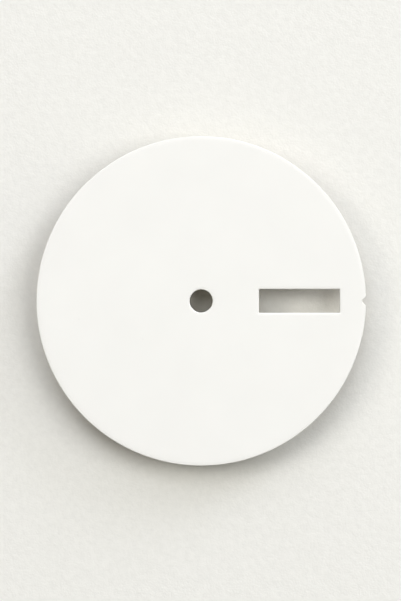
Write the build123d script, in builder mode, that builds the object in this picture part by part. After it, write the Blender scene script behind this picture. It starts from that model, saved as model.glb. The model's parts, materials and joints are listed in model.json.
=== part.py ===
from build123d import *
import math
import os

# A bare white dial for a day-date wristwatch: a stamped brass plate, its sprayed coat and
# the four copper feet that are brazed to its back. Lengths are in millimetres, angles in
# degrees. The origin is where the axis of the centre hole meets the back of the plate,
# which seats on the movement. Z points out of the front, X to 3 o'clock and Y to 12.

# The dial as it is used, with its coat on
dial_diameter = 28.50
centre_hole_diameter = 2.00
window_length = 7.00
window_height = 2.05
window_rim_margin = 2.25
notch_width = 0.80
notch_angle = 90.0
notch_root_radius = 0.20

# The stamped plate under the coat
plate_thickness = 0.40
rim_roll_width = 0.35
rim_roll_slope = 8.0
die_taper = 2.0
edge_break = 0.04
burr_bevel = 0.03

# The coat, and the roundings that it takes as it flows over an edge
front_coat = 0.08
wall_coat = 0.05
bare_hem = 0.05
hem_bevel = 0.03
rim_edge_radius = 0.07
hole_edge_radius = 0.06
window_edge_radius = 0.07
window_corner_radius = 0.07
notch_edge_radius = 0.09

# The feet: one pair for a crown at 3 o'clock, and the same pair turned for a lower crown
foot_diameter = 0.70
foot_length = 2.20
foot_tip_bevel = 0.10
foot_rim_margin = 1.85
upper_foot_angle = 64.0
lower_foot_angle = 242.0
crown_turn = 24.0

# The countersunk spot that a foot stands in, and the braze that fills it
spot_depth = 0.12
spot_reach = 0.25
braze_rise = 0.30
braze_hollow = 0.04

# How far every cutter runs past what it cuts
overrun = 0.50

dial_radius = dial_diameter / 2
plate_radius = dial_radius - wall_coat
front_height = plate_thickness + front_coat
hole_radius = centre_hole_diameter / 2
window_centre = dial_radius - window_rim_margin - window_length / 2
foot_radius = foot_diameter / 2
spot_radius = foot_radius + spot_reach
foot_circle_radius = dial_radius - foot_rim_margin
through = front_height + overrun

foot_angles = {
    "one_oclock": upper_foot_angle,
    "two_oclock": upper_foot_angle - crown_turn,
    "seven_oclock": lower_foot_angle,
    "eight_oclock": lower_foot_angle - crown_turn,
}


def foot_place(angle):
    """Where a foot's axis meets the back of the plate."""
    turn = math.radians(angle)
    return (foot_circle_radius * math.cos(turn), foot_circle_radius * math.sin(turn))


def notch_outline(coat):
    """The rim notch in plan: a V with a rounded root, wider by the coat that will line it."""
    half_angle = math.radians(notch_angle / 2)
    apex = dial_radius - notch_width / 2 / math.tan(half_angle) - coat / math.sin(half_angle)
    mouth = dial_radius + overrun
    mouth_half_width = (mouth - apex) * math.tan(half_angle)
    with BuildSketch(Plane.XY) as notch:
        with BuildLine():
            Polyline((apex, 0), (mouth, mouth_half_width), (mouth, -mouth_half_width), close=True)
        make_face()
        fillet(notch.vertices().sort_by(Axis.X)[0], radius=notch_root_radius + coat)
    return notch.sketch


def window_outline(coat):
    """The window in plan, wider by the coat that will line it."""
    with BuildSketch(Plane.XY) as window:
        with Locations((window_centre, 0)):
            RectangleRounded(
                window_length + 2 * coat,
                window_height + 2 * coat,
                window_corner_radius + coat,
            )
    return window.sketch


def window_loop(face):
    """The window's edges in a flat face of the disc, where the hole's loop is the shorter one."""
    return face.inner_wires().sort_by(SortBy.LENGTH)[-1].edges()


# The plate as the press leaves it, before its back is countersunk
with BuildPart() as stamped_blank:
    # From the hole outwards: a broken front edge, the flat, one wide arc where the die dragged
    # the front down towards the rim, the wall sheared crisp, and back to the hole, which
    # widens towards the back because the slug broke away there
    with BuildSketch(Plane.XZ):
        with BuildLine():
            front_wall = hole_radius + wall_coat
            back_wall = front_wall + plate_thickness * math.tan(math.radians(die_taper))
            roll_radius = rim_roll_width / math.sin(math.radians(rim_roll_slope))
            flat_start = (front_wall + edge_break, plate_thickness)
            front = Line(flat_start, (plate_radius - rim_roll_width, plate_thickness))
            roll = JernArc(front @ 1, front % 1, roll_radius, -rim_roll_slope)
            Polyline(
                roll @ 1,
                (plate_radius, 0),
                (back_wall + burr_bevel, 0),
                (back_wall, burr_bevel),
                (front_wall, plate_thickness - edge_break),
                flat_start,
            )
        make_face()
    revolve(axis=Axis.Z)
    extrude(notch_outline(wall_coat), amount=through, both=True, mode=Mode.SUBTRACT)
    with BuildSketch(Plane.XY.offset(plate_thickness)):
        add(window_outline(wall_coat))
    extrude(amount=through, both=True, taper=-die_taper, mode=Mode.SUBTRACT)
    chamfer(window_loop(stamped_blank.faces().sort_by(Axis.Z)[-1]), length=edge_break)
    back = stamped_blank.faces().sort_by(Axis.Z)[0]
    chamfer(back.outer_wire().edges() + window_loop(back), length=burr_bevel)

with BuildPart() as dial_plate:
    add(stamped_blank.part)
    with BuildSketch(Plane.XY):
        with Locations(*[foot_place(angle) for angle in foot_angles.values()]):
            Circle(spot_radius)
    spot_taper = math.degrees(math.atan2(spot_reach, spot_depth))
    extrude(amount=spot_depth, taper=spot_taper, mode=Mode.SUBTRACT)
dial_plate.part.label = "dial_plate"

with BuildPart() as white_lacquer:
    # First the whole dial as the coat leaves it, down to the hem where the spray stopped.
    # At the rim the wide arc of the roll runs on at a tangent into the tight one of the edge
    with BuildSketch(Plane.XZ):
        with BuildLine():
            slope_share = math.sin(math.radians(rim_roll_slope))
            coat_roll_width = rim_roll_width + wall_coat
            coat_roll_radius = (coat_roll_width - rim_edge_radius * (1 - slope_share)) / slope_share
            lip = JernArc((hole_radius, front_height - hole_edge_radius), (0, 1), hole_edge_radius, -90)
            front = Line(lip @ 1, (dial_radius - coat_roll_width, front_height))
            roll = JernArc(front @ 1, front % 1, coat_roll_radius, -rim_roll_slope)
            edge = JernArc(roll @ 1, roll % 1, rim_edge_radius, rim_roll_slope - 90)
            Polyline(
                edge @ 1,
                (dial_radius, bare_hem),
                (hole_radius + hem_bevel, bare_hem),
                (hole_radius, bare_hem + hem_bevel),
                lip @ 0,
            )
        make_face()
    revolve(axis=Axis.Z)
    extrude(notch_outline(0), amount=through, both=True, mode=Mode.SUBTRACT)

    # The notch's corners and its front edge are one unbroken line, and so is their rounding
    fillet(white_lacquer.edges().filter_by(Axis.Z).sort_by(Axis.X)[-2:], radius=notch_edge_radius)
    extrude(window_outline(0), amount=through, both=True, mode=Mode.SUBTRACT)
    fillet(window_loop(white_lacquer.faces().sort_by(Axis.Z)[-1]), radius=window_edge_radius)
    hem = white_lacquer.faces().sort_by(Axis.Z)[0]
    chamfer(hem.outer_wire().edges() + window_loop(hem), length=hem_bevel)

    # Then the plate is taken out of it, which leaves the skin alone
    add(stamped_blank.part, mode=Mode.SUBTRACT)
white_lacquer.part.label = "white_lacquer"

os.makedirs("parts", exist_ok=True)
export_step(dial_plate.part, "parts/dial_plate.step")
export_step(white_lacquer.part, "parts/white_lacquer.step")

for hour, angle in foot_angles.items():
    foot_x, foot_y = foot_place(angle)

    # Drawn copper wire, seated on the floor of its spot
    with BuildPart() as dial_foot:
        with BuildSketch(Plane.XY.offset(-foot_length)):
            with Locations((foot_x, foot_y)):
                Circle(foot_radius)
        extrude(amount=foot_length + spot_depth)
        chamfer(dial_foot.edges().sort_by(Axis.Z)[0], length=foot_tip_bevel)
    dial_foot.part.label = f"dial_foot_{hour}"
    export_step(dial_foot.part, f"parts/dial_foot_{hour}.step")

    # Braze: it fills the spot and climbs the wire in a hollow fillet
    with BuildPart() as foot_braze:
        with BuildSketch(Plane(origin=(foot_x, foot_y, 0), x_dir=(1, 0, 0), z_dir=(0, -1, 0))):
            with BuildLine():
                Polyline((foot_radius, -braze_rise), (foot_radius, spot_depth), (spot_radius, 0))
                SagittaArc((spot_radius, 0), (foot_radius, -braze_rise), -braze_hollow)
            make_face()
        revolve(axis=Axis((foot_x, foot_y, 0), (0, 0, 1)))
    foot_braze.part.label = f"foot_braze_{hour}"
    export_step(foot_braze.part, f"parts/foot_braze_{hour}.step")
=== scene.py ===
"""A bare white dial for a day-date wristwatch, standing on its feet on a sheet of paper.

A sprayed coat lies over a stamped brass plate, and four copper feet are brazed into spots
countersunk in the plate's back. Sizes are in millimetres and angles in degrees, in the frame
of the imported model: Z points out of the front, X to 3 o'clock and Y to 12, and the origin is
where the axis of the centre hole meets the back. The finished meshes are in metres.
"""

import json
import logging
import math
from collections.abc import Callable, Iterable, Sequence
from dataclasses import dataclass
from enum import Enum, IntEnum
from functools import partial, reduce

import bpy
import numpy as np
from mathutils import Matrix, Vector
from mathutils.geometry import delaunay_2d_cdt


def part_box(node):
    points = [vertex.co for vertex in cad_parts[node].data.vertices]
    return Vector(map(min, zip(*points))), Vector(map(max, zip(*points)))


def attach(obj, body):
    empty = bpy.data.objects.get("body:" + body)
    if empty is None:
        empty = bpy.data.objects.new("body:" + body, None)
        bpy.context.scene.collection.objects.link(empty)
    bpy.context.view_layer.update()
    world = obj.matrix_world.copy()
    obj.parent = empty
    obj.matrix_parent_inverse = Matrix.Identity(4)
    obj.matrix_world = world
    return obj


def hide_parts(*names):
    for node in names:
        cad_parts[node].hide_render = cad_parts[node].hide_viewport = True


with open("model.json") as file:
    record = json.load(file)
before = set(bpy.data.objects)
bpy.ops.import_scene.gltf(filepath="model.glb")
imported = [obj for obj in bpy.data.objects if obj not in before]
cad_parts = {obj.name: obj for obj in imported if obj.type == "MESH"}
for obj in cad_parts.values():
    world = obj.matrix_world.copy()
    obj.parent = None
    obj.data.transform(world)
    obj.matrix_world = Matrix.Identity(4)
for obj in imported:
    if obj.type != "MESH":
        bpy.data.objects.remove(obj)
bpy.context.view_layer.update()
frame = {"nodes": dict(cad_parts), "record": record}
LOG = logging.getLogger("watch_dial")

MM = 0.001
BODY = "root"
PHOTO_WIDTH = 401
PHOTO_HEIGHT = 601

# What a place is multiplied by to drop its height
FLAT = (1.0, 1.0, 0.0)

# How a share is mapped where it begins and ends softly
EASED = {"interpolation_type": "SMOOTHSTEP"}

# How many segments a hem, a burr or the coat's edge is rounded with
HEM_STEPS = 4
EDGE_STEPS = 10

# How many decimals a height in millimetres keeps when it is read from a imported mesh
HEIGHT_DECIMALS = 3

# How far apart the feet's seeds are, which leaves each foot some of its own
SEEDS_PER_FOOT = 10

Array = np.ndarray
Colour = tuple[float, float, float, float]
Place = tuple[float, float]
Tree = bpy.types.NodeTree
Socket = bpy.types.NodeSocket
AddNode = Callable[..., Socket]
Inputs = dict[str, object]


class Facing(Enum):
    """Which way a flat face looks: out of the dial's front or out of its back."""

    FRONT = 1
    BACK = -1


class Mix(IntEnum):
    """A colour Mix node's sockets by their places, because it has several of each name."""

    SHARE = 0
    RESULT = 2
    UNDER = 6
    OVER = 7


def linear(hex_colour: str) -> Colour:
    """Turn an sRGB hex colour into the linear numbers that a shader takes.

    A dark value is divided by 12.92. Any other has 0.055 added, is divided by 1.055 and is
    then raised to the power of 2.4.

    Args:
        hex_colour: Six hex digits, such as "F6F5F1".

    Returns:
        Red, green, blue and alpha, each from 0 to 1.
    """
    coded = np.array([int(hex_colour[i : i + 2], 16) for i in (0, 2, 4)]) / 255
    plain = np.where(coded <= 0.04045, coded / 12.92, ((coded + 0.055) / 1.055) ** 2.4)
    return (*map(float, plain), 1.0)


def add_node(
    tree: Tree,
    kind: str,
    inputs: dict[str | int, object] | None = None,
    output: str | int = 0,
    **settings: object,
) -> Socket:
    """Add a node, set it and fill or link its inputs.

    Args:
        tree: The node tree that gets the node.
        kind: The node's type without its "ShaderNode" prefix, such as "TexNoise".
        inputs: A value, or another node's output socket, for each input that is set.
        output: Which of the node's outputs to hand back.
        **settings: The node's own properties.

    Returns:
        The output socket asked for, or the first input's if the node has no output.
    """
    node = tree.nodes.new(f"ShaderNode{kind}")
    for name, value in settings.items():
        setattr(node, name, value)
    for key, value in (inputs or {}).items():
        if isinstance(value, Socket):
            tree.links.new(value, node.inputs[key])
        else:
            node.inputs[key].default_value = value
    return node.outputs[output] if len(node.outputs) else node.inputs[0]


def blank_tree(owner: bpy.types.Material | bpy.types.World) -> AddNode:
    """Clear the nodes of a material or of a world.

    Args:
        owner: The material or the world.

    Returns:
        What adds a node to it: add_node, with its tree filled in.
    """
    owner.use_nodes = True
    owner.node_tree.nodes.clear()
    return partial(add_node, owner.node_tree)


def put_in_scene(name: str, data: bpy.types.ID) -> bpy.types.Object:
    """Make an object of a mesh, a lamp or a camera, and put it into the scene.

    Args:
        name: The object's name.
        data: What it shows.

    Returns:
        The object, at the origin.
    """
    made = bpy.data.objects.new(name, data)
    bpy.context.scene.collection.objects.link(made)
    return made


def layered(
    node: AddNode, colour: Colour, layers: Iterable[tuple[Socket, str]]
) -> Socket | Colour:
    """Lay tints over a colour, one on top of another.

    Args:
        node: Adds a node to the material's tree.
        colour: The colour under them all.
        layers: How strongly each tint covers what lies under it, and its sRGB hex colour.

    Returns:
        The colour that is seen.
    """
    for share, tint in layers:
        sockets = {Mix.SHARE: share, Mix.UNDER: colour, Mix.OVER: linear(tint)}
        colour = node("Mix", sockets, Mix.RESULT, data_type="RGBA")
    return colour


def arc(centre: Place, radius: float, start: float, end: float, steps: int) -> tuple[Array, Array]:
    """Points along an arc: the centre plus the radius times (cos a, sin a) for each angle a.

    Args:
        centre: The arc's centre in plan.
        radius: The arc's radius.
        start: The angle of its first point, in radians.
        end: The angle that it stops at, which gets no point of its own.
        steps: How many points it has.

    Returns:
        The (steps, 2) points, and their unit vectors away from the centre.
    """
    angles = np.linspace(start, end, steps, endpoint=False)
    away = np.column_stack([np.cos(angles), np.sin(angles)])
    return np.array(centre) + radius * away, away


def straight(start: Place, end: Place, steps: int) -> Array:
    """Points along a straight line: start plus t times the way to end, for t from 0 to below 1.

    Args:
        start: The first point in plan.
        end: The point that the line stops short of by one step.
        steps: How many points it has.

    Returns:
        The (steps, 2) points.
    """
    t = np.linspace(0, 1, steps, endpoint=False)[:, None]
    return np.array(start) + t * (np.array(end) - np.array(start))


def eased(section: Sequence[Place], reach: float, steps: int = 4) -> Array:
    """Round every inner corner of a section.

    A quadratic curve leaves the leg before a corner and joins the leg after it, both at a
    distance of reach, or at a third of the leg where that is shorter.

    Args:
        section: The section's corners, as (radius, height) pairs.
        reach: How far from its corner each rounding begins.
        steps: How many segments a rounding has.

    Returns:
        The rounded section, an (m, 2) array that keeps the first and last points.
    """
    path = np.array(section, float)
    corner = path[1:-1]
    back, ahead = path[:-2] - corner, path[2:] - corner
    back_length = np.linalg.norm(back, axis=1, keepdims=True)
    ahead_length = np.linalg.norm(ahead, axis=1, keepdims=True)
    first = corner + back / back_length * np.minimum(reach, back_length / 3)
    last = corner + ahead / ahead_length * np.minimum(reach, ahead_length / 3)
    t = np.linspace(0, 1, steps + 1)[None, :, None]
    weights = (1 - t) ** 2, 2 * t * (1 - t), t**2
    curve = sum(w * ends[:, None] for w, ends in zip(weights, (first, corner, last)))
    return np.vstack([path[:1], curve.reshape(-1, 2), path[-1:]])


def ripple(angles: Array, lobes: Sequence[int], seed: int) -> Array:
    """An uneven wave round a circle: the mean of one cosine per lobe count, each with its phase.

    Args:
        angles: The angles round the circle, in radians.
        lobes: How often each cosine repeats in a turn.
        seed: What the phases are drawn from.

    Returns:
        The wave at each angle, between -1 and 1.
    """
    phases = np.random.default_rng(seed).uniform(0, 2 * np.pi, len(lobes))
    waves = np.cos(np.outer(np.array(lobes), angles) + phases[:, None])
    return waves.mean(axis=0)


def arc_drop(past: Array, radius: float) -> Array:
    """How far an arc that starts out level has dropped.

    It is the radius, less the root of the radius squared less the way past the start squared.

    Args:
        past: How far past the arc's start each place lies, or less than nothing before it.
        radius: The arc's radius.

    Returns:
        The drops.
    """
    return radius - np.sqrt(radius**2 - np.clip(past, 0, None) ** 2)


def row(plan: Array, height: Array | float) -> Array:
    """One line of points round a wall: a loop in plan, (n, 2), lifted to its heights, (n, 3)."""
    return np.column_stack([plan, np.broadcast_to(height, len(plan))])


def flat_fill(loops: Sequence[Array]) -> Array:
    """Triangles over the flat region inside the first loop and outside the others.

    It is a Delaunay triangulation that keeps every loop's own edges. The others all bulge
    outwards, so a triangle lies inside one exactly when all its corners are on that loop.

    Args:
        loops: Closed loops in plan, each an (n, 2) array.

    Returns:
        A (k, 3) array of places in the stacked loops, counter-clockwise from the front.
    """
    points = np.vstack(loops)
    sizes = [len(loop) for loop in loops]
    first = np.repeat(np.cumsum([0, *sizes[:-1]]), sizes)
    here = np.arange(len(points))
    following = first + (here - first + 1) % np.repeat(sizes, sizes)
    edges = np.column_stack([here, following])

    # The kind of fill that keeps only what lies inside, and how near two points are merged
    inside, tolerance = 1, 1e-6
    _, _, found, sources, _, _ = delaunay_2d_cdt(
        points.tolist(), edges.tolist(), [], inside, tolerance
    )
    origin = np.array([ids[0] for ids in sources])
    triangles = origin[np.array(found)]
    loop_of = first[triangles]
    in_opening = (loop_of[:, 0] > 0) & (loop_of == loop_of[:, :1]).all(axis=1)
    triangles = triangles[~in_opening]
    a, b, c = (points[triangles[:, i]] for i in range(3))
    turn = (b[:, 0] - a[:, 0]) * (c[:, 1] - a[:, 1]) - (b[:, 1] - a[:, 1]) * (c[:, 0] - a[:, 0])
    triangles[turn < 0] = triangles[turn < 0][:, ::-1]
    return triangles


class Shell:
    """A closed surface, gathered from strips, caps and flat fills that share their points."""

    def __init__(self) -> None:
        """Start with no points and no faces."""
        self.points: list[Array] = []
        self.faces: list[list[int]] = []
        self.size = 0

    def add_points(self, points: Array) -> Array:
        """Take in points.

        Args:
            points: An (n, 3) array.

        Returns:
            Their n places among the shell's points.
        """
        self.points.append(points)
        self.size += len(points)
        return np.arange(self.size - len(points), self.size)

    def add_strip(self, rows: Array, closed: bool = False) -> Array:
        """Lay a grid that closes on itself along each row, with a quad between four neighbours.

        A face looks along the row's direction crossed with the way from one row to the next.

        Args:
            rows: An (m, n, 3) array of m rows with n points each.
            closed: Whether the last row joins the first as well.

        Returns:
            The (m, n) places of the grid's points.
        """
        places = self.add_points(rows.reshape(-1, 3)).reshape(rows.shape[:2])
        upper = np.roll(places, -1, axis=0) if closed else places[1:]
        lower = places if closed else places[:-1]
        quads = np.stack(
            [lower, np.roll(lower, -1, axis=1), np.roll(upper, -1, axis=1), upper], axis=-1
        )
        self.faces += quads.reshape(-1, 4).tolist()
        return places

    def add_cap(self, edge: Array, tip: Sequence[float], facing: Facing) -> None:
        """Close a round opening with a fan of triangles that meet at one point.

        Args:
            edge: The opening's n places, counter-clockwise from the front.
            tip: Where the triangles meet.
            facing: Which way they look.
        """
        pole = self.add_points(np.array([tip], float))[0]
        fan = np.column_stack([edge, np.roll(edge, -1), np.full(len(edge), pole)])
        self.faces += (fan if facing is Facing.FRONT else fan[:, ::-1]).tolist()

    def add_fill(self, edges: Sequence[Array], triangles: Array, facing: Facing) -> None:
        """Close a flat region that lies between edges.

        Args:
            edges: The places of each edge's points, in the order that the fill was worked out in.
            triangles: What flat_fill gave for the same edges.
            facing: Which way they look.
        """
        places = np.concatenate(edges)[triangles]
        self.faces += (places if facing is Facing.FRONT else places[:, ::-1]).tolist()

    def to_object(self, name: str, crease: float = 35.0) -> bpy.types.Object:
        """Turn the shell into an object at the origin, shaded smooth but for its sharp edges.

        Args:
            name: The piece's name.
            crease: The angle between two faces past which their edge stays sharp.

        Returns:
            The object, already in the scene.
        """
        mesh = bpy.data.meshes.new(name)
        mesh.from_pydata((np.vstack(self.points) * MM).tolist(), [], self.faces)
        mesh.validate()
        mesh.polygons.foreach_set("use_smooth", np.ones(len(mesh.polygons), bool))
        mesh.set_sharp_from_angle(angle=math.radians(crease))
        return put_in_scene(name, mesh)


def mount_of(record: dict, name: str) -> dict:
    """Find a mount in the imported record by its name."""
    return next(mount for mount in record["mounts"] if mount["name"] == name)


@dataclass(frozen=True)
class DialSizes:
    """The dial's sizes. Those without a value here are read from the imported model."""

    radius: float  # The dial's radius over its coat
    front: float  # The height of the coat's front
    plate_front: float  # The height of the plate's front, under the coat
    foot_tip: float  # The height of the feet's tips, which stand on the floor
    hole_radius: float  # The centre hole's radius inside its coat
    window_centre: float  # How far to the right the window's middle lies
    foot_radius: float  # The radius of the feet's wire
    foot_places: dict[str, Place]  # The plan place of each foot, by its hour

    window_length: float = 7.00  # The window's length along X, inside its coat
    window_height: float = 2.05  # Its height along Y
    window_corner: float = 0.07  # The radius of its corners in plan
    notch_width: float = 0.80  # How wide the notch is at the rim
    notch_angle: float = 90.0  # The angle between its flanks
    notch_root: float = 0.20  # The radius of its root
    notch_corner: float = 0.11  # The radius of its corners at the rim

    wall_coat: float = 0.05  # How thick the coat is on the walls
    hem: float = 0.05  # The height of the coat's lower edge
    hem_bevel: float = 0.03  # The radius of that edge
    rim_rounding: float = 0.05  # The radius of the coat's front edge at the rim
    hole_rounding: float = 0.06  # The same round the centre hole
    window_rounding: float = 0.07  # The same round the window
    notch_rounding: float = 0.05  # The same in the notch

    roll_width: float = 0.40  # How far in from the rim the front begins to drop
    pierced_roll_width: float = 0.32  # The same at the hole and the window, in the coat alone
    roll_slope: float = 6.5  # How steep the drop has become where it ends
    die_taper: float = 2.0  # How far a pierced wall leans out towards the back
    edge_break: float = 0.04  # The bevel on the plate's pierced front edges
    burr_bevel: float = 0.03  # The radius of the worn burr on its back
    landing: float = 0.06  # How far past the last drop the flat begins
    back_landing: float = 0.02  # How far past the burr the flat of the back begins

    foot_bevel: float = 0.10  # The bevel on a foot's tip
    spot_radius: float = 0.60  # The radius of a countersunk spot at its mouth
    spot_depth: float = 0.12  # How deep it is
    braze_rise: float = 0.30  # How far the braze climbs the wire
    braze_hollow: float = 0.04  # How hollow its fillet is

    @classmethod
    def from_frame(cls, record: dict) -> "DialSizes":
        """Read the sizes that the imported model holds.

        Args:
            record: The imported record.

        Returns:
            The sizes.
        """
        coat_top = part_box("white_lacquer")[1] / MM
        plate_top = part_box("dial_plate")[1] / MM
        prefix = "dial_foot_"
        nodes = sorted(name for name in frame["nodes"] if name.startswith(prefix))
        hours = [name.removeprefix(prefix) for name in nodes]
        feet = {hour: mount_of(record, f"foot_{hour}") for hour in hours}
        return cls(
            radius=mount_of(record, "rim")["dims"]["r_mm"],
            front=round(coat_top.z, HEIGHT_DECIMALS),
            plate_front=round(plate_top.z, HEIGHT_DECIMALS),
            foot_tip=round(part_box(nodes[0])[0].z / MM, HEIGHT_DECIMALS),
            hole_radius=mount_of(record, "centre_hole")["dims"]["r_mm"],
            window_centre=mount_of(record, "day_date_window")["pos_m"][0] / MM,
            foot_radius=feet[hours[0]]["dims"]["r_mm"],
            foot_places={
                hour: (foot["pos_m"][0] / MM, foot["pos_m"][1] / MM) for hour, foot in feet.items()
            },
        )

    def coat_front(self, plan: Array) -> Array:
        """The height of the coat's front: flat, then wide arcs down towards each edge.

        An arc begins level with the flat, and has turned by the roll's slope where the tight
        rounding of its edge takes over. The way to the window is the length of how far a place,
        folded into one quarter of the window, lies beyond the middle of its corner's rounding.

        Args:
            plan: The (n, 2) places asked for.

        Returns:
            The n heights.
        """
        out = np.hypot(*plan.T)
        corner = np.array([self.window_length, self.window_height]) / 2 - self.window_corner
        beyond = np.maximum(np.abs(plan - (self.window_centre, 0)) - corner, 0)
        to_window = np.hypot(*beyond.T) - self.window_corner
        share = math.sin(math.radians(self.roll_slope))
        height = np.full(len(plan), self.front)
        for way, width, rounding in (
            (self.radius - out, self.roll_width, self.rim_rounding),
            (out - self.hole_radius, self.pierced_roll_width, self.hole_rounding),
            (to_window, self.pierced_roll_width, self.window_rounding),
        ):
            height -= arc_drop(width - way, (width - rounding * (1 - share)) / share)
        return height

    def plate_top(self, plan: Array) -> Array:
        """The height of the plate's front: flat, then an arc down to the crisp rim.

        Args:
            plan: The (n, 2) places asked for.

        Returns:
            The n heights.
        """
        width = self.roll_width - self.wall_coat
        past = width - (self.radius - self.wall_coat - np.hypot(*plan.T))
        return self.plate_front - arc_drop(past, width / math.sin(math.radians(self.roll_slope)))


@dataclass(frozen=True)
class Wall:
    """A wall right round the dial or one of its openings, walked with the metal on the left."""

    sizes: DialSizes  # The dial's sizes
    points: Array  # The coated wall in plan, an (n, 2) array
    into: Array  # A unit vector from each point straight into the metal, an (n, 2) array
    rounding: Array  # The coat's edge radius at each point
    slope: Array  # The angle, in radians, at which the front runs into that rounding
    flat: Array  # The loop in plan, an (n, 2) array, past which the front is flat
    taper: float  # How fast the plate's wall leans away towards the back, per unit of height
    edge_break: float  # The bevel on the plate's front edge, or 0 where the die rolled it

    @classmethod
    def opening(cls, sizes: DialSizes, points: Array, into: Array, rounding: float) -> "Wall":
        """A wall round an opening that was pierced in the flat, where the coat draws thin.

        Args:
            sizes: The dial's sizes.
            points: The coated wall in plan, clockwise from the front.
            into: A unit vector from each point straight into the metal.
            rounding: The coat's edge radius.

        Returns:
            The wall.
        """
        return cls(
            sizes=sizes,
            points=points,
            into=into,
            rounding=np.full(len(points), rounding),
            slope=np.full(len(points), math.radians(sizes.roll_slope)),
            flat=points + into * (sizes.pierced_roll_width + sizes.landing),
            taper=math.tan(math.radians(sizes.die_taper)),
            edge_break=sizes.edge_break,
        )

    @classmethod
    def hole(cls, sizes: DialSizes, steps: int = 144) -> "Wall":
        """The centre hole: a circle walked clockwise.

        Args:
            sizes: The dial's sizes.
            steps: How many points it has.

        Returns:
            The wall.
        """
        points, away = arc((0, 0), sizes.hole_radius, 0, -2 * math.pi, steps)
        return cls.opening(sizes, points, away, sizes.hole_rounding)

    @classmethod
    def window(cls, sizes: DialSizes, corner_steps: int = 10, side_steps: int = 24) -> "Wall":
        """The window: four quarter arcs and the straight sides between them, walked clockwise.

        Args:
            sizes: The dial's sizes.
            corner_steps: How many points each corner has.
            side_steps: How many points each side has.

        Returns:
            The wall.
        """
        reach_x = sizes.window_length / 2 - sizes.window_corner
        reach_y = sizes.window_height / 2 - sizes.window_corner
        signs = ((1, 1), (1, -1), (-1, -1), (-1, 1))
        points, into = [], []
        for turn, (sign_x, sign_y) in enumerate(signs):
            start = math.radians(90 * (1 - turn))
            centre = (sizes.window_centre + sign_x * reach_x, sign_y * reach_y)
            next_x, next_y = signs[(turn + 1) % len(signs)]
            next_centre = np.array([sizes.window_centre + next_x * reach_x, next_y * reach_y])
            bend, away = arc(centre, sizes.window_corner, start, start - math.pi / 2, corner_steps)
            out = np.array([math.cos(start - math.pi / 2), math.sin(start - math.pi / 2)])
            side = straight(
                np.array(centre) + sizes.window_corner * out,
                next_centre + sizes.window_corner * out,
                side_steps,
            )
            points += [bend, side]
            into += [away, np.tile(out, (side_steps, 1))]
        return cls.opening(sizes, np.vstack(points), np.vstack(into), sizes.window_rounding)

    @classmethod
    def rim(cls, sizes: DialSizes, steps: int = 720, notch_steps: int = 12) -> "Wall":
        """The rim with its notch: a circle, two rounded corners, two flanks and a round root.

        The notch is a V whose flanks meet at an apex inside the rim. Each flank runs between
        the tangent points of the corner arc, which also touches the rim's circle from within,
        and of the root arc, which lies in the mouth of the V.

        Args:
            sizes: The dial's sizes.
            steps: How many points the circle has.
            notch_steps: How many points each stretch of the notch has.

        Returns:
            The wall.
        """
        s = sizes
        half = math.radians(s.notch_angle / 2)
        apex = s.radius - s.notch_width / 2 / math.tan(half)
        along = np.array([math.cos(half), math.sin(half)])
        across = np.array([-math.sin(half), math.cos(half)])

        # The corner's centre is a corner radius off the flank, and as far inside the circle
        foot = np.array([apex, 0.0]) + s.notch_corner * across
        lean = float(foot @ along)
        reach = lean**2 - float(foot @ foot) + (s.radius - s.notch_corner) ** 2
        corner_centre = foot + (math.sqrt(reach) - lean) * along
        corner_turn = math.atan2(corner_centre[1], corner_centre[0])
        corner_touch = corner_centre - s.notch_corner * across
        root_centre = (apex + s.notch_root / math.sin(half), 0.0)
        root_touch = np.array(root_centre) + s.notch_root * across
        flipped = np.array([1.0, -1.0])

        circle, circle_away = arc((0, 0), s.radius, corner_turn, 2 * math.pi - corner_turn, steps)
        lower, lower_away = arc(
            corner_centre * flipped, s.notch_corner, -corner_turn, math.pi / 2 - half, notch_steps
        )
        lower_flank = straight(corner_touch * flipped, root_touch * flipped, notch_steps)
        root, root_away = arc(
            root_centre, s.notch_root, 1.5 * math.pi - half, half + math.pi / 2, 2 * notch_steps
        )
        upper_flank = straight(root_touch, corner_touch, notch_steps)
        upper, upper_away = arc(
            corner_centre, s.notch_corner, half - math.pi / 2, corner_turn, notch_steps
        )
        points = np.vstack([circle, lower, lower_flank, root, upper_flank, upper])
        into = np.vstack(
            [
                -circle_away,
                -lower_away,
                np.tile(across * flipped, (notch_steps, 1)),
                root_away,
                np.tile(across, (notch_steps, 1)),
                -upper_away,
            ]
        )

        # How much of the rim's own edge there is: all of it on the circle, fading in the corners,
        # and none along the flanks and the root, which has twice a flank's points
        t = np.linspace(0, 1, notch_steps, endpoint=False)
        fade = 1 - t * t * (3 - 2 * t)
        rim_share = np.concatenate([np.ones(steps), fade, np.zeros(4 * notch_steps), fade[::-1]])

        # The flat begins on a circle that bows in round the notch, by half a roll's width at its
        # middle and by ever less on a bell curve as wide as the notch to either side
        turns = np.arctan2(points[:, 1], points[:, 0])
        bow = np.exp(-((turns * s.radius / s.notch_width) ** 2))
        flat_radius = s.radius - s.roll_width - s.landing - s.roll_width / 2 * bow
        return cls(
            sizes=s,
            points=points,
            into=into,
            rounding=s.notch_rounding + (s.rim_rounding - s.notch_rounding) * rim_share,
            slope=math.radians(s.roll_slope) * rim_share,
            flat=flat_radius[:, None] * np.column_stack([np.cos(turns), np.sin(turns)]),
            taper=0.0,
            edge_break=0.0,
        )

    def inset(self, depth: Array | float) -> Array:
        """The wall's loop in plan, carried straight into the metal by that depth."""
        return self.points + self.into * np.broadcast_to(depth, len(self.points))[:, None]

    def plate_inset(self, height: Array | float) -> Array:
        """The plate's own wall in plan at that height, leaning as its taper says."""
        lean = np.maximum(self.plate_shoulder() - height, 0) * self.taper
        return self.inset(self.sizes.wall_coat + lean)

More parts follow.
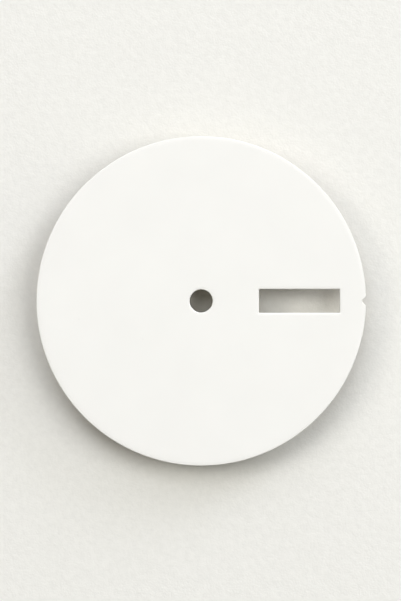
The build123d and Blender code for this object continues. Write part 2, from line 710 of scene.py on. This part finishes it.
    def plate_shoulder(self) -> Array:
        """The height at each point where the plate's wall ends and its front edge begins."""
        return self.sizes.plate_top(self.inset(self.sizes.wall_coat)) - self.edge_break

    def back_flat(self) -> Array:
        """The loop in plan past which the plate's back is flat."""
        return self.inset(self.sizes.wall_coat + self.sizes.burr_bevel + self.sizes.back_landing)

    def to_flat(self, plan: Array, steps: int = 12) -> Array:
        """Loops in plan from one beside the wall to the flat: straight ways in equal steps.

        Args:
            plan: The loop to start from, which isn't given again.
            steps: How many loops to give.

        Returns:
            A (steps, n, 2) array whose last loop is the flat's edge.
        """
        t = np.linspace(0, 1, steps + 1)[1:, None, None]
        return plan + t * (self.flat - plan)

    def plate_back_rows(self) -> list[Array]:
        """The plate's rows from the flat of its back, over the worn burr, to the coat's hem.

        The burr is worn to a quarter arc that begins level with the back and ends upright.

        Returns:
            The rows, each an (n, 3) array.
        """
        s = self.sizes
        burr = [
            row(
                self.plate_inset(s.burr_bevel) + self.into * s.burr_bevel * (1 - math.sin(turn)),
                s.burr_bevel * (1 - math.cos(turn)),
            )
            for turn in np.linspace(0, math.pi / 2, HEM_STEPS + 1)
        ]
        return [row(self.back_flat(), 0.0), *burr]

    def plate_front_rows(self) -> list[Array]:
        """The plate's rows from the coat's hem up its wall and over to the flat of its front.

        Returns:
            The rows, each an (n, 3) array.
        """
        s = self.sizes
        shoulder = self.inset(s.wall_coat)
        rows = [row(self.plate_inset(s.hem), s.hem), row(shoulder, self.plate_shoulder())]
        if self.edge_break:
            shoulder = self.inset(s.wall_coat + self.edge_break)
            rows.append(row(shoulder, s.plate_top(shoulder)))
        rows += [row(plan, s.plate_top(plan)) for plan in self.to_flat(shoulder)]
        return rows

    def coat_rows(self) -> list[Array]:
        """The coat's outer rows: round its hem, up the wall, over the edge and on to the flat.

        The edge is an arc from the upright wall to the slope of the front: its centre lies
        where the arc ends on the front's own height.

        Returns:
            The rows, each an (n, 3) array.
        """
        s = self.sizes
        hem = [
            row(
                self.inset(s.hem_bevel * (1 - math.sin(turn))),
                s.hem + s.hem_bevel * (1 - math.cos(turn)),
            )
            for turn in np.linspace(0, math.pi / 2, HEM_STEPS + 1)
        ]
        landing = self.inset(self.rounding * (1 - np.sin(self.slope)))
        centre = s.coat_front(landing) - self.rounding * np.cos(self.slope)
        hem_top = s.hem + s.hem_bevel
        wall = [row(self.points, hem_top + t * (centre - hem_top)) for t in (1 / 3, 2 / 3)]
        edge = [
            row(
                self.inset(self.rounding * (1 - np.cos(t * (math.pi / 2 - self.slope)))),
                centre + self.rounding * np.sin(t * (math.pi / 2 - self.slope)),
            )
            for t in np.linspace(0, 1, EDGE_STEPS + 1)
        ]
        roll = [row(plan, s.coat_front(plan)) for plan in self.to_flat(landing)]
        return [*hem, *wall, *edge, *roll]


@dataclass(frozen=True)
class Grain:
    """A pattern of soft spots at a real size, cut to the stretch of it that shows."""

    size: float  # How far apart its spots lie, in millimetres
    # How many times farther apart they lie along X, Y and Z
    stretch: tuple[float, float, float] = (1.0, 1.0, 1.0)
    detail: float = 2.0  # How many layers of finer spots lie over them
    low: float = 0.3  # The noise that counts as none
    high: float = 0.7  # The noise that counts as full

    def share(self, node: AddNode, ground: Socket) -> Socket:
        """Draw the pattern.

        Args:
            node: Adds a node to the material's tree.
            ground: The object's own coordinates, in millimetres.

        Returns:
            A share from 0 to 1.
        """
        counts = tuple(1 / (self.size * times) for times in self.stretch)
        spots = node("VectorMath", {0: ground, 1: counts}, operation="MULTIPLY")
        noise = node("TexNoise", {"Vector": spots, "Scale": 1.0, "Detail": self.detail})
        return node("MapRange", {"Value": noise, "From Min": self.low, "From Max": self.high})


class Finish:
    """A surface as it is made: what its material is called and how it is dressed."""

    name: str  # What the material is called
    slot: str  # What the record calls it

    def dress(self, node: AddNode, ground: Socket) -> Inputs:
        """Work out what the surface's shader takes.

        Args:
            node: Adds a node to the material's tree.
            ground: The object's own coordinates, in millimetres.

        Returns:
            Values and sockets for the shader's inputs, by their names.
        """
        raise NotImplementedError

    def material(self) -> bpy.types.Material:
        """Make the material: one plain shader that takes what dress() works out.

        Returns:
            The material.
        """
        material = bpy.data.materials.new(self.name)
        node = blank_tree(material)
        metres = node("TexCoord", output="Object")
        ground = node("VectorMath", {0: metres, "Scale": 1 / MM}, operation="SCALE")
        shader = node("BsdfPrincipled", self.dress(node, ground))
        node("OutputMaterial", {"Surface": shader})
        return material


@dataclass(frozen=True)
class SprayedLacquer(Finish):
    """White dial lacquer, sprayed and baked: an even satin white with the faintest orange peel.

    The coat goes thin and warm where it runs out over the bare brass at its hem. A speck of
    dust here and there was caught under the last coat.
    """

    name: str = "sprayed_white_lacquer"
    slot: str = "white_lacquer"
    light: str = "F9F8F5"  # The colour where the coat lies thickest
    shade: str = "F7F6F3"  # The colour between its slow waves
    hem_tint: str = "CFC6A4"  # The colour of the thin coat at the hem
    dust: str = "6E6A5E"  # The colour of a speck
    waves: Grain = Grain(5.0)  # How the coat's thickness drifts
    peel: Grain = Grain(0.9, detail=1.0)  # The hills of the orange peel
    # How high they are. They are drawn three times as high as on a real dial, where they would
    # be too faint to show.
    peel_height: float = 0.0016
    # The dust-fine grain of a satin spray, drawn coarser than it is
    tooth: Grain = Grain(0.22, detail=1.0)
    tooth_height: float = 0.00025  # How high that grain is
    roughness: float = 0.62  # How satin the coat is in the hollows of the peel
    polish: float = 0.10  # How much smoother it is on the hills
    gloss: float = 0.10  # How much it mirrors, where plain plastic is at a half
    index: float = 1.5  # How strongly it bends light
    hem_low: float = 0.05  # The height up to which the thin coat shows fully
    hem_high: float = 0.15  # The height from which it no longer shows
    specks: tuple[Place, ...] = ((-10.58, -1.57), (-5.07, -3.30))  # Where the dust lies
    speck_radius: float = 0.13  # How large a speck is
    speck_share: float = 0.05  # How strongly a speck shows at its middle

    def dress(self, node: AddNode, ground: Socket) -> Inputs:
        """Dress the coat.

        Args:
            node: Adds a node to the material's tree.
            ground: The object's own coordinates, in millimetres.

        Returns:
            Values and sockets for the shader's inputs, by their names.
        """
        flat = node("VectorMath", {0: ground, 1: FLAT}, operation="MULTIPLY")
        height = node("SeparateXYZ", {0: ground}, "Z")
        hem = {"Value": height, "From Min": self.hem_high, "From Max": self.hem_low}
        thin = node("MapRange", hem, **EASED)
        layers = [(self.waves.share(node, ground), self.light), (thin, self.hem_tint)]
        for x, y in self.specks:
            away = node("VectorMath", {0: flat, 1: (x, y, 0.0)}, "Value", operation="DISTANCE")
            speck = {
                "Value": away,
                "From Min": self.speck_radius,
                "From Max": 0.0,
                "To Max": self.speck_share,
            }
            layers.append((node("MapRange", speck, **EASED), self.dust))
        hills = self.peel.share(node, ground)
        grain = self.tooth.share(node, ground)
        peel = node("Bump", {"Distance": self.peel_height * MM, "Height": hills})
        toothed = {"Distance": self.tooth_height * MM, "Height": grain, "Normal": peel}
        normal = node("Bump", toothed)
        smoother = {0: hills, 1: -self.polish, 2: self.roughness}
        rough = node("Math", smoother, operation="MULTIPLY_ADD")
        return {
            "Base Color": layered(node, linear(self.shade), layers),
            "Roughness": rough,
            "IOR": self.index,
            "Specular IOR Level": self.gloss,
            "Normal": normal,
        }


@dataclass(frozen=True)
class RolledBrass(Finish):
    """Brass sheet, rolled and pickled: fine lines along the rolling, gone dull and olive.

    The braze's heat left a straw and a brown ring round each foot, and a mist of the white
    spray drifted round the edges on to the back.
    """

    sizes: DialSizes  # The dial's sizes
    name: str = "rolled_and_pickled_brass"
    slot: str = "rolled_brass"
    bright: str = "BBB195"  # The colour of the cleanest metal
    dull: str = "8D866F"  # The colour of the tarnish
    straw: str = "A07C42"  # The colour of the heat's outer ring, and of the rolled lines
    brown: str = "6A4A30"  # The colour of its inner ring
    mist: str = "E4E1D6"  # The colour of the overspray
    tarnish: Grain = Grain(4.5, detail=4.0, low=0.38, high=0.68)  # How the tarnish is spread
    # The rolled lines. Real ones are finer than the render can show.
    lines: Grain = Grain(0.16, stretch=(30.0, 1.0, 1.0), detail=3.0, low=0.35, high=0.75)
    line_height: float = 0.0006  # How high they stand
    line_share: float = 0.35  # How strongly their colour shows
    roughness: float = 0.34  # How rough the clean metal is
    tarnish_roughness: float = 0.14  # How much rougher the tarnish is
    wander: float = 0.6  # How far the heat's rings wander in and out
    # Where the outer ring ends and begins, measured from the foot's axis
    straw_band: Place = (2.6, 1.2)
    straw_share: float = 0.75  # How strongly it shows
    brown_band: Place = (1.3, 0.7)  # Where the inner ring ends and begins
    brown_share: float = 0.8  # How strongly it shows
    drops: Grain = Grain(0.11, low=0.0, high=1.0)  # The overspray's stipple
    drop_edge: float = 0.25  # How much of the stipple's range a drop's edge takes
    mist_width: float = 0.55  # How far in from an edge the overspray reaches
    mist_reach: float = 0.78  # How much of the stipple it fills at the edge
    mist_roughness: float = 0.25  # How much rougher the overspray is

    def to_foot(self, node: AddNode, flat: Socket) -> Socket:
        """Measure how far away the axis of the nearest foot is.

        Args:
            node: Adds a node to the material's tree.
            flat: The place in plan, in millimetres.

        Returns:
            The distance, in millimetres.
        """
        ways = [
            node("VectorMath", {0: flat, 1: (x, y, 0.0)}, "Value", operation="DISTANCE")
            for x, y in self.sizes.foot_places.values()
        ]
        return reduce(lambda a, b: node("Math", {0: a, 1: b}, operation="MINIMUM"), ways)

    def to_edge(self, node: AddNode, flat: Socket) -> Socket:
        """Measure how far away the nearest edge is: the rim's, the hole's or the window's.

        The way to the window is the length of how far the place, folded into one quarter of
        the window, lies beyond its corner.

        Args:
            node: Adds a node to the material's tree.
            flat: The place in plan, in millimetres.

        Returns:
            The distance, in millimetres.
        """
        s = self.sizes
        middle = (s.window_centre, 0.0, 0.0)
        corner = (s.window_length / 2, s.window_height / 2, 0.0)
        out = node("VectorMath", {0: flat}, "Value", operation="LENGTH")
        to_rim = node("Math", {0: s.radius, 1: out}, operation="SUBTRACT")
        to_hole = node("Math", {0: out, 1: s.hole_radius}, operation="SUBTRACT")
        centred = node("VectorMath", {0: flat, 1: middle}, operation="SUBTRACT")
        folded = node("VectorMath", {0: centred}, operation="ABSOLUTE")
        beyond = node("VectorMath", {0: folded, 1: corner}, operation="SUBTRACT")
        outside = node("VectorMath", {0: beyond, 1: (0.0, 0.0, 0.0)}, operation="MAXIMUM")
        to_window = node("VectorMath", {0: outside}, "Value", operation="LENGTH")
        nearest = node("Math", {0: to_rim, 1: to_hole}, operation="MINIMUM")
        return node("Math", {0: nearest, 1: to_window}, operation="MINIMUM")

    def dress(self, node: AddNode, ground: Socket) -> Inputs:
        """Dress the plate.

        Args:
            node: Adds a node to the material's tree.
            ground: The object's own coordinates, in millimetres.

        Returns:
            Values and sockets for the shader's inputs, by their names.
        """
        flat = node("VectorMath", {0: ground, 1: FLAT}, operation="MULTIPLY")
        lines = self.lines.share(node, ground)
        tarnish = self.tarnish.share(node, ground)
        lined = node("Math", {0: lines, 1: self.line_share}, operation="MULTIPLY")
        layers = [(tarnish, self.dull), (lined, self.straw)]

        # The flame wandered, and so do the rings that its heat left
        away = self.to_foot(node, flat)
        away = node("Math", {0: tarnish, 1: self.wander, 2: away}, operation="MULTIPLY_ADD")
        for (outer, inner), share, tint in (
            (self.straw_band, self.straw_share, self.straw),
            (self.brown_band, self.brown_share, self.brown),
        ):
            ring = {"Value": away, "From Min": outer, "From Max": inner, "To Max": share}
            layers.append((node("MapRange", ring, **EASED), tint))

        # The overspray is a stipple that closes up towards the edge
        near = {"Value": self.to_edge(node, flat), "From Min": self.mist_width, "From Max": 0.0}
        thick = node("MapRange", near, **EASED)
        gap = node("Math", {0: self.mist_reach, 1: thick}, operation="SUBTRACT")
        over = node("Math", {0: self.drops.share(node, ground), 1: gap}, operation="SUBTRACT")
        mist = node("MapRange", {"Value": over, "From Max": self.drop_edge})
        layers.append((mist, self.mist))
        rougher = {0: tarnish, 1: self.tarnish_roughness, 2: self.roughness}
        rough = node("Math", rougher, operation="MULTIPLY_ADD")
        return {
            "Base Color": layered(node, linear(self.bright), layers),
            "Metallic": node("Math", {0: 1.0, 1: mist}, operation="SUBTRACT"),
            "Roughness": node(
                "Math", {0: mist, 1: self.mist_roughness, 2: rough}, operation="MULTIPLY_ADD"
            ),
            "Normal": node("Bump", {"Distance": self.line_height * MM, "Height": lines}),
        }


@dataclass(frozen=True)
class DrawnCopper(Finish):
    """Copper wire, drawn: fine lines along the wire, dark and purple towards the braze's heat."""

    name: str = "drawn_copper_wire"
    slot: str = "drawn_copper"
    bright: str = "D08C67"  # The colour of the clean wire
    dull: str = "A9613F"  # The colour in its drawn lines
    scorched: str = "5E3A30"  # The colour where the heat was
    # The drawn lines. Real ones are finer than the render can show.
    lines: Grain = Grain(0.07, stretch=(1.0, 1.0, 25.0), detail=3.0, low=0.35)
    line_height: float = 0.0005  # How high they stand
    line_roughness: float = 0.12  # How much rougher they are
    roughness: float = 0.30  # How rough the clean wire is
    scorch_start: float = -1.3  # The height at which the heat's colour begins
    scorch_full: float = 0.0  # The height at which it is at its full share
    scorch_share: float = 0.85  # How strongly it shows there
    wander: float = 0.3  # How far its edge wanders

    def dress(self, node: AddNode, ground: Socket) -> Inputs:
        """Dress the wire.

        Args:
            node: Adds a node to the material's tree.
            ground: The object's own coordinates, in millimetres.

        Returns:
            Values and sockets for the shader's inputs, by their names.
        """
        lines = self.lines.share(node, ground)
        height = node("SeparateXYZ", {0: ground}, "Z")
        height = node("Math", {0: lines, 1: self.wander, 2: height}, operation="MULTIPLY_ADD")
        scorch = {
            "Value": height,
            "From Min": self.scorch_start,
            "From Max": self.scorch_full,
            "To Max": self.scorch_share,
        }
        heat = node("MapRange", scorch, **EASED)
        layers = [(lines, self.dull), (heat, self.scorched)]
        rougher = {0: lines, 1: self.line_roughness, 2: self.roughness}
        return {
            "Base Color": layered(node, linear(self.bright), layers),
            "Metallic": 1.0,
            "Roughness": node("Math", rougher, operation="MULTIPLY_ADD"),
            "Normal": node("Bump", {"Distance": self.line_height * MM, "Height": lines}),
        }


@dataclass(frozen=True)
class SilverBraze(Finish):
    """Silver braze as it flowed and froze: pale, a little yellow, with dull islands of flux."""

    name: str = "frozen_silver_braze"
    slot: str = "silver_braze"
    bright: str = "DAD3BE"  # The colour of the clean metal
    dull: str = "A79C7F"  # The colour of the flux that stayed on it
    flux: Grain = Grain(0.22, detail=3.0, low=0.42, high=0.62)  # How the flux is spread
    flux_roughness: float = 0.22  # How much rougher it is
    roughness: float = 0.26  # How rough the clean metal is
    skin: Grain = Grain(0.12)  # The wrinkles that froze in
    skin_height: float = 0.0012  # How high they stand

    def dress(self, node: AddNode, ground: Socket) -> Inputs:
        """Dress the braze.

        Args:
            node: Adds a node to the material's tree.
            ground: The object's own coordinates, in millimetres.

        Returns:
            Values and sockets for the shader's inputs, by their names.
        """
        flux = self.flux.share(node, ground)
        skin = self.skin.share(node, ground)
        rougher = {0: flux, 1: self.flux_roughness, 2: self.roughness}
        return {
            "Base Color": layered(node, linear(self.bright), [(flux, self.dull)]),
            "Metallic": 1.0,
            "Roughness": node("Math", rougher, operation="MULTIPLY_ADD"),
            "Normal": node("Bump", {"Distance": self.skin_height * MM, "Height": skin}),
        }


@dataclass(frozen=True)
class WovePaper(Finish):
    """Uncoated wove paper: matt, off-white, and faintly cloudy with fibres under raking light."""

    name: str = "wove_paper"
    slot: str = "paper"
    light: str = "F4F3EF"  # The colour of its thick places
    shade: str = "F0EFEB"  # The colour of its thin places
    unlit: str = "000000"  # What its shading fades to where its glow takes over
    roughness: float = 0.9  # How matt it is
    gloss: float = 0.0  # How much it mirrors: nothing
    clumps: Grain = Grain(0.50, detail=2.0)  # The clumps of its fibres
    clump_height: float = 0.0085  # How high they stand
    # The fibres, drawn coarser than they are, because real ones are too fine to show
    fibres: Grain = Grain(0.17)
    fibre_height: float = 0.0062  # How high they stand
    # How far out the paper's own glow begins to take over from its shading, so that it meets
    # the surroundings without an edge
    clear_from: float = 120.0
    clear_to: float = 420.0  # How far out it has taken over
    backdrop: str = "F0EFEB"  # The colour that it meets there

    def dress(self, node: AddNode, ground: Socket) -> Inputs:
        """Dress the paper.

        Args:
            node: Adds a node to the material's tree.
            ground: The object's own coordinates, in millimetres.

        Returns:
            Values and sockets for the shader's inputs, by their names.
        """
        clumps = self.clumps.share(node, ground)
        formed = node("Bump", {"Distance": self.clump_height * MM, "Height": clumps})
        fibres = self.fibres.share(node, ground)
        raised = {"Distance": self.fibre_height * MM, "Height": fibres, "Normal": formed}
        normal = node("Bump", raised)
        out = node("VectorMath", {0: ground}, "Value", operation="LENGTH")
        clear = {"Value": out, "From Min": self.clear_from, "From Max": self.clear_to}
        far = node("MapRange", clear, **EASED)
        layers = [(clumps, self.light), (far, self.unlit)]
        return {
            "Base Color": layered(node, linear(self.shade), layers),
            "Roughness": self.roughness,
            "Specular IOR Level": self.gloss,
            "Normal": normal,
            "Emission Color": linear(self.backdrop),
            "Emission Strength": far,
        }


def dress_piece(
    piece: bpy.types.Object, finish: Finish, replaced: Iterable[str]
) -> bpy.types.Object:
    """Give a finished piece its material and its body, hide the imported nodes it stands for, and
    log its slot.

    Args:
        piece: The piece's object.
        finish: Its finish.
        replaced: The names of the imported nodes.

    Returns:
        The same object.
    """
    piece.data.materials.append(bpy.data.materials.get(finish.name) or finish.material())
    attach(piece, BODY)
    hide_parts(*replaced)
    LOG.info("%s: %d faces, %s", piece.name, len(piece.data.polygons), finish.slot)
    return piece


@dataclass(frozen=True)
class Dial:
    """The plate and its coat, which share their walls and the fill of the front."""

    sizes: DialSizes  # The dial's sizes
    walls: tuple[Wall, Wall, Wall]  # The walls of the rim, the centre hole and the window

    @classmethod
    def from_sizes(cls, sizes: DialSizes) -> "Dial":
        """Work out the walls from the sizes."""
        return cls(sizes, (Wall.rim(sizes), Wall.hole(sizes), Wall.window(sizes)))

    def coat(self) -> bpy.types.Object:
        """Build the coat: a skin whose inner side is the plate's own front and walls.

        Returns:
            The coat's object.
        """
        shell = Shell()
        front_fill = flat_fill([wall.flat for wall in self.walls])
        strips = [
            shell.add_strip(np.stack([*wall.plate_front_rows()[::-1], *wall.coat_rows()]))
            for wall in self.walls
        ]
        shell.add_fill([strip[-1] for strip in strips], front_fill, Facing.FRONT)
        shell.add_fill([strip[0] for strip in strips], front_fill, Facing.BACK)
        return dress_piece(shell.to_object("lacquer_coat"), SprayedLacquer(), ["white_lacquer"])

    def plate(self) -> bpy.types.Object:
        """Build the plate: its walls, its front, and its back with the spots for the feet.

        Returns:
            The plate's object.
        """
        shell = Shell()
        strips = [
            shell.add_strip(np.stack([*wall.plate_back_rows(), *wall.plate_front_rows()]))
            for wall in self.walls
        ]
        front_fill = flat_fill([wall.flat for wall in self.walls])
        shell.add_fill([strip[-1] for strip in strips], front_fill, Facing.FRONT)
        spots = [self.add_spot(shell, place) for place in self.sizes.foot_places.values()]
        mouths = [self.spot_rows(place)[0, :, :2] for place in self.sizes.foot_places.values()]
        back_fill = flat_fill([*(wall.back_flat() for wall in self.walls), *mouths])
        shell.add_fill([*(strip[0] for strip in strips), *spots], back_fill, Facing.BACK)
        return dress_piece(shell.to_object("brass_plate"), RolledBrass(self.sizes), ["dial_plate"])

    def spot_rows(self, place: Place, steps: int = 64) -> Array:
        """The rows of a countersunk spot, clockwise, from its mouth down the cone to its floor.

        Args:
            place: The spot's middle in plan.
            steps: How many points a row has.

        Returns:
            An (m, steps, 3) array.
        """
        s = self.sizes
        mouth = ((s.spot_radius + s.landing, 0.0), (s.spot_radius, 0.0))
        section = (*mouth, (s.foot_radius, s.spot_depth))
        return np.stack(
            [row(arc(place, radius, 0, -2 * math.pi, steps)[0], z) for radius, z in section]
        )

    def add_spot(self, shell: Shell, place: Place) -> Array:
        """Sink a spot into the shell's back.

        Args:
            shell: The plate's shell.
            place: The spot's middle in plan.

        Returns:
            The places of the points round the spot's mouth.
        """
        strip = shell.add_strip(self.spot_rows(place))
        shell.add_cap(strip[-1][::-1], (*place, self.sizes.spot_depth), Facing.BACK)
        return strip[0]


@dataclass(frozen=True)
class DialFoot:
    """One foot: a copper wire that stands in its spot, and the braze that holds it there."""

    sizes: DialSizes  # The dial's sizes
    hour: str  # The hour that the foot stands nearest to, which names it
    seed: int  # What its unevenness is drawn from
    steps: int = 96  # How many points it has round its axis
    fillet_steps: int = 16  # How many segments the braze's fillet has
    draw_mark: float = 0.0015  # How deep the wire's draw marks are
    mark_lobes: tuple[int, ...] = (7, 11, 17, 23)  # How often their waves repeat in a turn
    corner_ease: float = 0.025  # How far from a corner of the wire its rounding begins
    rise_change: float = 0.035  # How far below its full height the braze stays in places
    rise_lobes: tuple[int, ...] = (1, 2, 3, 5)  # How often its waves repeat in a turn
    creep: float = 0.045  # How far it creeps over the plate in places
    creep_lobes: tuple[int, ...] = (2, 3, 5, 8)  # The same for the creep
    hollow_change: float = 0.3  # How much its hollow varies, as a share
    hollow_lobes: tuple[int, ...] = (1, 3, 4)  # The same for the hollow

    def turned(self, radius: Array, height: Array) -> Array:
        """Points round the foot's axis: (radius cos a, radius sin a, height) for each angle a.

        Args:
            radius: The (m, n) or (m, 1) radii.
            height: The (m, n) or (m, 1) heights.

        Returns:
            An (m, n, 3) array, counter-clockwise from the front.
        """
        x, y = self.sizes.foot_places[self.hour]
        angles = self.angles()
        radius, height = np.broadcast_arrays(radius, height + 0 * angles)
        places = x + radius * np.cos(angles), y + radius * np.sin(angles), height
        return np.stack(places, axis=-1)

    def angles(self) -> Array:
        """The angles of the points in a row, in radians."""
        return np.linspace(0, 2 * np.pi, self.steps, endpoint=False)

    def wire(self) -> bpy.types.Object:
        """Build the wire: cut square, bevelled at its tip, and faintly marked along its length.

        The radius at each angle is the section's, less a shallow wave that runs the length.

        Returns:
            The wire's object.
        """
        s = self.sizes
        bevel_start = s.foot_radius - s.foot_bevel
        section = eased(
            [
                (bevel_start / 2, s.foot_tip),
                (bevel_start, s.foot_tip),
                (s.foot_radius, s.foot_tip + s.foot_bevel),
                (s.foot_radius, s.spot_depth),
                (s.foot_radius / 2, s.spot_depth),
            ],
            self.corner_ease,
        )
        marks = self.draw_mark * (1 + ripple(self.angles(), self.mark_lobes, self.seed)) / 2
        radius = section[:, :1] - marks * (section[:, :1] > bevel_start)
        shell = Shell()
        strip = shell.add_strip(self.turned(radius, section[:, 1:]))
        place = s.foot_places[self.hour]
        shell.add_cap(strip[0], (*place, s.foot_tip), Facing.BACK)
        shell.add_cap(strip[-1], (*place, s.spot_depth), Facing.FRONT)
        piece = shell.to_object(f"copper_foot_{self.hour}")
        return dress_piece(piece, DrawnCopper(), [f"dial_foot_{self.hour}"])

    def braze(self) -> bpy.types.Object:
        """Build the braze: a ring that fills the spot and climbs the wire in a hollow fillet.

        The fillet's surface is the straight way from the wire to the plate, pulled towards the
        corner between them by the hollow times 4 t (1 - t), for t along that way. How high it
        climbs, how far it creeps over the plate and how hollow it is all change round the wire.

        Returns:
            The braze's object.
        """
        s = self.sizes
        angles = self.angles()
        sag = self.rise_change * (1 + ripple(angles, self.rise_lobes, self.seed + 1)) / 2
        creep = self.creep * (1 + ripple(angles, self.creep_lobes, self.seed + 2)) / 2
        change = self.hollow_change * ripple(angles, self.hollow_lobes, self.seed + 3)
        rise, skirt = s.braze_rise - sag, s.spot_radius + creep
        hollow = s.braze_hollow * (1 + change)
        t = np.linspace(0, 1, self.fillet_steps + 1)[:, None]
        pull = hollow * 4 * t * (1 - t) / math.sqrt(2)
        fillet_radius = s.foot_radius + t * (skirt - s.foot_radius) - pull
        fillet_height = -rise * (1 - t) + pull
        fillet_radius = np.maximum(fillet_radius, s.foot_radius)
        spot_section = np.array([[s.spot_radius, 0.0], [s.foot_radius, s.spot_depth]])
        rows = [
            self.turned(fillet_radius, fillet_height),
            self.turned(spot_section[:, :1], spot_section[:, 1:]),
        ]
        shell = Shell()
        shell.add_strip(np.vstack(rows), closed=True)
        piece = shell.to_object(f"braze_fillet_{self.hour}")
        return dress_piece(piece, SilverBraze(), [f"foot_braze_{self.hour}"])


@dataclass(frozen=True)
class SoftLamp:
    """A round soft lamp that looks at the dial's middle."""

    name: str  # What it is called
    azimuth: float  # The way to it in plan, from X towards Y
    elevation: float  # Its angle above the table
    distance: float  # How far off it is
    half_angle: float  # Half the angle that it fills, seen from the dial
    # How much of a white surface's full brightness it gives to the table, in the colour that
    # its tint leaves whole
    share: float
    tint: str  # Its colour

    def place(self) -> bpy.types.Object:
        """Hang the lamp.

        A lamp of power P gives a white table P times the sine of its elevation, times the
        squared cosine of its half angle, over the square of pi times its distance.

        Returns:
            The lamp's object.
        """
        azimuth, elevation = math.radians(self.azimuth), math.radians(self.elevation)
        way = Vector(
            (
                math.cos(elevation) * math.cos(azimuth),
                math.cos(elevation) * math.sin(azimuth),
                math.sin(elevation),
            )
        )
        reach, half_angle = self.distance * MM, math.radians(self.half_angle)
        data = bpy.data.lights.new(self.name, "AREA")
        data.shape = "DISK"
        data.size = 2 * reach * math.tan(half_angle)
        loss = math.sin(elevation) * math.cos(half_angle) ** 2
        data.energy = self.share * (math.pi * reach) ** 2 / loss
        data.color = linear(self.tint)[:3]
        lamp = put_in_scene(self.name, data)
        lamp.location = way * reach
        lamp.rotation_euler = way.to_track_quat("Z", "Y").to_euler()
        lamp.visible_camera = False
        return lamp


@dataclass(frozen=True)
class Studio:
    """The table, the lamps, the surroundings and the camera."""

    sizes: DialSizes  # The dial's sizes
    lamps: tuple[SoftLamp, ...]  # The soft lamps
    # How many millimetres of the dial's front a pixel of the photograph spans
    scale: float = 0.0865
    centre_x: float = 201.10  # The pixel column of the dial's middle in the photograph
    centre_y: float = 301.00  # The pixel row of the dial's middle in the photograph
    lens: float = 85.0  # The camera's focal length
    sensor: float = 36.0  # The long side of its sensor
    clip_span: float = 100.0  # How many times nearer and farther than the dial it sees
    paper_reach: float = 900.0  # Half the paper's side
    fill: float = 0.015  # How bright the surroundings are on the dial
    backdrop: str = "F0EFEB"  # The colour that the surroundings show

    def lay_paper(self) -> bpy.types.Object:
        """Lay the paper under the feet: one flat square whose height is the feet's tips.

        Returns:
            The paper's object.
        """
        corners = np.array([(-1, -1), (1, -1), (1, 1), (-1, 1)]) * self.paper_reach
        mesh = bpy.data.meshes.new("paper")
        mesh.from_pydata((row(corners, self.sizes.foot_tip) * MM).tolist(), [], [(0, 1, 2, 3)])
        mesh.materials.append(WovePaper(backdrop=self.backdrop).material())
        paper = put_in_scene("paper", mesh)
        return paper

    def surround(self) -> None:
        """Make the surroundings: dim as a lamp, pale to the camera and in gloss."""
        world = bpy.data.worlds.new("surroundings")
        node = blank_tree(world)
        camera = node("LightPath", output="Is Camera Ray")
        glossy = node("LightPath", output="Is Glossy Ray")
        through = node("LightPath", output="Is Transmission Ray")
        shown = node("Math", {0: camera, 1: glossy}, operation="MAXIMUM")
        shown = node("Math", {0: shown, 1: through}, operation="MAXIMUM")
        strength = node("MapRange", {"Value": shown, "To Min": self.fill})
        glow = node("Background", {"Color": linear(self.backdrop), "Strength": strength})
        node("OutputWorld", {"Surface": glow})
        bpy.context.scene.world = world

    def stand_camera(self) -> bpy.types.Object:
        """Stand the camera straight above, so that the front has the photograph's scale.

        Returns:
            The camera's object.
        """
        data = bpy.data.cameras.new("camera")
        data.lens = self.lens
        data.sensor_width = self.sensor
        data.dof.use_dof = False
        height = PHOTO_HEIGHT * self.scale * self.lens / self.sensor
        data.clip_start, data.clip_end = height * MM / self.clip_span, height * MM * self.clip_span
        camera = put_in_scene("camera", data)
        camera.location = Vector(
            (
                (PHOTO_WIDTH / 2 - self.centre_x) * self.scale * MM,
                (self.centre_y - PHOTO_HEIGHT / 2) * self.scale * MM,
                (self.sizes.front + height) * MM,
            )
        )
        bpy.context.scene.camera = camera
        return camera

    def set_up(self) -> None:
        """Set the whole studio up."""
        bpy.context.scene.view_settings.view_transform = "Standard"
        self.stand_camera()
        self.lay_paper()
        self.surround()
        for lamp in self.lamps:
            lamp.place()


def main() -> None:
    """Build the studio and the dial."""
    logging.basicConfig(level=logging.INFO, format="%(name)s: %(message)s")
    sizes = DialSizes.from_frame(frame["record"])
    lamps = (
        SoftLamp(
            "window_light", azimuth=94.0, elevation=34.0, distance=1500.0,
            half_angle=28.0, share=0.229, tint="F7F9FF",
        ),
        SoftLamp(
            "upper_light", azimuth=118.0, elevation=61.0, distance=900.0,
            half_angle=18.0, share=0.174, tint="FFFFFC",
        ),
        SoftLamp(
            "right_light", azimuth=12.0, elevation=50.5, distance=800.0,
            half_angle=20.0, share=0.306, tint="FFFFFB",
        ),
        SoftLamp(
            "left_light", azimuth=163.0, elevation=42.5, distance=900.0,
            half_angle=12.0, share=0.161, tint="FFFBF0",
        ),
        SoftLamp(
            "low_light", azimuth=46.0, elevation=14.5, distance=900.0,
            half_angle=11.0, share=0.092, tint="EEF2FF",
        ),
        SoftLamp(
            "low_right_light", azimuth=0.0, elevation=18.0, distance=900.0,
            half_angle=12.0, share=0.048, tint="FFFFEC",
        ),
    )
    Studio(sizes, lamps).set_up()
    dial = Dial.from_sizes(sizes)
    dial.plate()
    dial.coat()
    for number, hour in enumerate(sizes.foot_places):
        foot = DialFoot(sizes, hour, seed=SEEDS_PER_FOOT * number)
        foot.wire()
        foot.braze()


if __name__ == "__main__":
    main()
